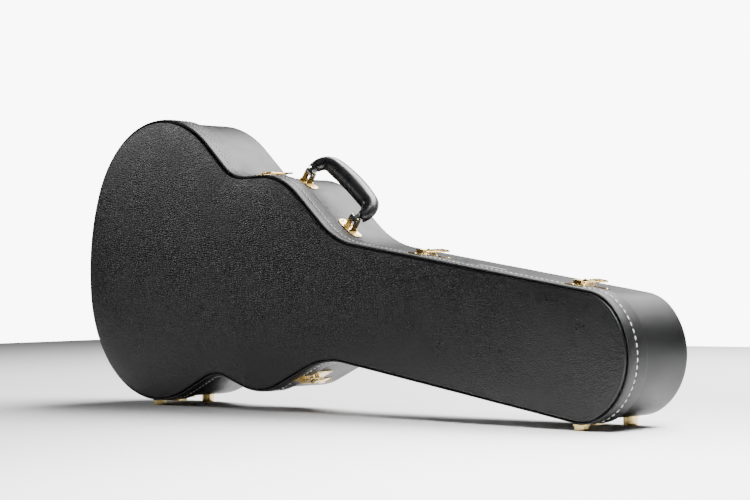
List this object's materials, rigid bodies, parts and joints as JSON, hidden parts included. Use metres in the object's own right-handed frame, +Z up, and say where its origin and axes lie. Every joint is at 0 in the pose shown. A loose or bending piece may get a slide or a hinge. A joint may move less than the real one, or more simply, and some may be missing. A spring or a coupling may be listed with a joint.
{
  "type": "guitar case",
  "caption": "Hard-shell guitar case standing on its side feet, with a hinged stitched-valance lid, draw latches, an arched carry handle, plush padding and an accessory box.",
  "frame": {"origin": "middle of the bounding box at the ground, under the side feet", "axes": "+X along the case to the head end, +Y from the lid to the back, +Z up from the hinge side to the handle side"},
  "size_m": [1.1293, 0.124, 0.4515],
  "materials": {
    "face_vinyl": "black pebbled vinyl, soft sheen",
    "wall_vinyl": "black fine-grained vinyl, satin",
    "valance_vinyl": "black vinyl band with pale stitching",
    "plywood": "raw birch plywood",
    "plush": "short-pile plush over foam or board",
    "handle_leather": "glossy black leather, stitched edge",
    "tab_leather": "black leather",
    "brass": "polished brass plate",
    "steel": "plated steel",
    "pale_metal": "satin pale metal"
  },
  "bodies": {
    "base": {"accessory_box": "plush", "accessory_door_pin": "steel", "accessory_shelf": "plush", "base_back_panel": "plywood", "base_cover": "wall_vinyl", "base_padding": "plush", "base_rim": "plywood", "blank_plate": "pale_metal", "blank_plate_rivets": "pale_metal", "handle_bracket_head_side": "brass", "handle_bracket_tail_side": "brass", "handle_pins": "steel", "handle_rivets": "brass", "hinge_head_base_leaf": "brass", "hinge_head_pin": "steel", "hinge_screws_base": "brass", "hinge_tail_base_leaf": "brass", "hinge_tail_pin": "steel", "latch_head_plate": "brass", "latch_neck_plate": "brass", "latch_pins": "steel", "latch_rivets": "brass", "latch_shoulder_plate": "brass", "latch_tail_plate": "brass", "latch_waist_plate": "brass", "neck_rest": "plush", "rear_foot_head": "brass", "rear_foot_screws": "steel", "rear_foot_tail": "brass"},
    "lid": {"front_foot_head": "brass", "front_foot_screws": "steel", "front_foot_tail": "brass", "hinge_head_lid_leaf": "brass", "hinge_screws_lid": "brass", "hinge_tail_lid_leaf": "brass", "keeper_rivets": "brass", "latch_head_keeper": "brass", "latch_neck_keeper": "brass", "latch_shoulder_keeper": "brass", "latch_tail_keeper": "brass", "latch_waist_keeper": "brass", "lid_cover": "face_vinyl", "lid_padding": "plush", "lid_panel": "plywood", "lid_rim": "plywood", "lid_valance": "valance_vinyl"},
    "handle": {"handle_grip": "handle_leather", "handle_end_straps": "steel"},
    "accessory_door": {"accessory_door": "plush", "accessory_pull_tab": "tab_leather"},
    "lever_waist": {"latch_waist_lever": "brass"},
    "bail_waist": {"latch_waist_bail": "brass"},
    "lever_neck": {"latch_neck_lever": "brass"},
    "bail_neck": {"latch_neck_bail": "brass"},
    "lever_head": {"latch_head_lever": "brass"},
    "bail_head": {"latch_head_bail": "brass"},
    "lever_shoulder": {"latch_shoulder_lever": "brass"},
    "bail_shoulder": {"latch_shoulder_bail": "brass"},
    "lever_tail": {"latch_tail_lever": "brass"},
    "bail_tail": {"latch_tail_bail": "brass"}
  },
  "joints": [
    {"name": "lid_hinge", "type": "hinge", "parent": "base", "child": "lid", "pos_m": [-0.37659, -0.0215, 0.0088], "axis": [1, 0, 0], "range_deg": [0, 105]},
    {"name": "lever_waist_turn", "type": "hinge", "parent": "base", "child": "lever_waist", "pos_m": [-0.12967, -0.014, 0.35246], "axis": [0.9999, 0, -0.0132], "range_deg": [0, 105]},
    {"name": "bail_waist_turn", "type": "hinge", "parent": "lever_waist", "child": "bail_waist", "pos_m": [-0.12965, -0.0055, 0.35326], "axis": [0.9999, 0, -0.0132], "range_deg": [-105, 0]},
    {"name": "lever_neck_turn", "type": "hinge", "parent": "base", "child": "lever_neck", "pos_m": [0.19523, -0.014, 0.22642], "axis": [0.9862, 0, -0.1653], "range_deg": [0, 105]},
    {"name": "bail_neck_turn", "type": "hinge", "parent": "lever_neck", "child": "bail_neck", "pos_m": [0.19536, -0.0055, 0.22721], "axis": [0.9862, 0, -0.1653], "range_deg": [-105, 0]},
    {"name": "lever_head_turn", "type": "hinge", "parent": "base", "child": "lever_head", "pos_m": [0.46842, -0.014, 0.18062], "axis": [0.9862, 0, -0.1653], "range_deg": [0, 105]},
    {"name": "bail_head_turn", "type": "hinge", "parent": "lever_head", "child": "bail_head", "pos_m": [0.46855, -0.0055, 0.18141], "axis": [0.9862, 0, -0.1653], "range_deg": [-105, 0]},
    {"name": "lever_shoulder_turn", "type": "hinge", "parent": "base", "child": "lever_shoulder", "pos_m": [-0.04869, -0.014, 0.04649], "axis": [-0.9225, 0, -0.3861], "range_deg": [0, 105]},
    {"name": "bail_shoulder_turn", "type": "hinge", "parent": "lever_shoulder", "child": "bail_shoulder", "pos_m": [-0.04838, -0.0055, 0.04575], "axis": [-0.9225, 0, -0.3861], "range_deg": [-105, 0]},
    {"name": "lever_tail_turn", "type": "hinge", "parent": "base", "child": "lever_tail", "pos_m": [-0.56011, -0.014, 0.26068], "axis": [0.1606, 0, 0.987], "range_deg": [0, 105]},
    {"name": "bail_tail_turn", "type": "hinge", "parent": "lever_tail", "child": "bail_tail", "pos_m": [-0.5609, -0.0055, 0.26081], "axis": [0.1606, 0, 0.987], "range_deg": [-105, 0]},
    {"name": "handle_swing", "type": "hinge", "parent": "base", "child": "handle", "pos_m": [-0.01077, -0.008, 0.31402], "axis": [0.7904, 0, -0.6126], "range_deg": [0, 96]},
    {"name": "accessory_door_turn", "type": "hinge", "parent": "base", "child": "accessory_door", "pos_m": [0.16634, 0.0097, 0.14247], "axis": [-0.987, 0, 0.1606], "range_deg": [0, 95]}
  ],
  "couplings": [
    {"joint": "bail_waist_turn", "follows": "lever_waist_turn", "ratio": -1},
    {"joint": "bail_neck_turn", "follows": "lever_neck_turn", "ratio": -1},
    {"joint": "bail_head_turn", "follows": "lever_head_turn", "ratio": -1},
    {"joint": "bail_shoulder_turn", "follows": "lever_shoulder_turn", "ratio": -1},
    {"joint": "bail_tail_turn", "follows": "lever_tail_turn", "ratio": -1}
  ]
}
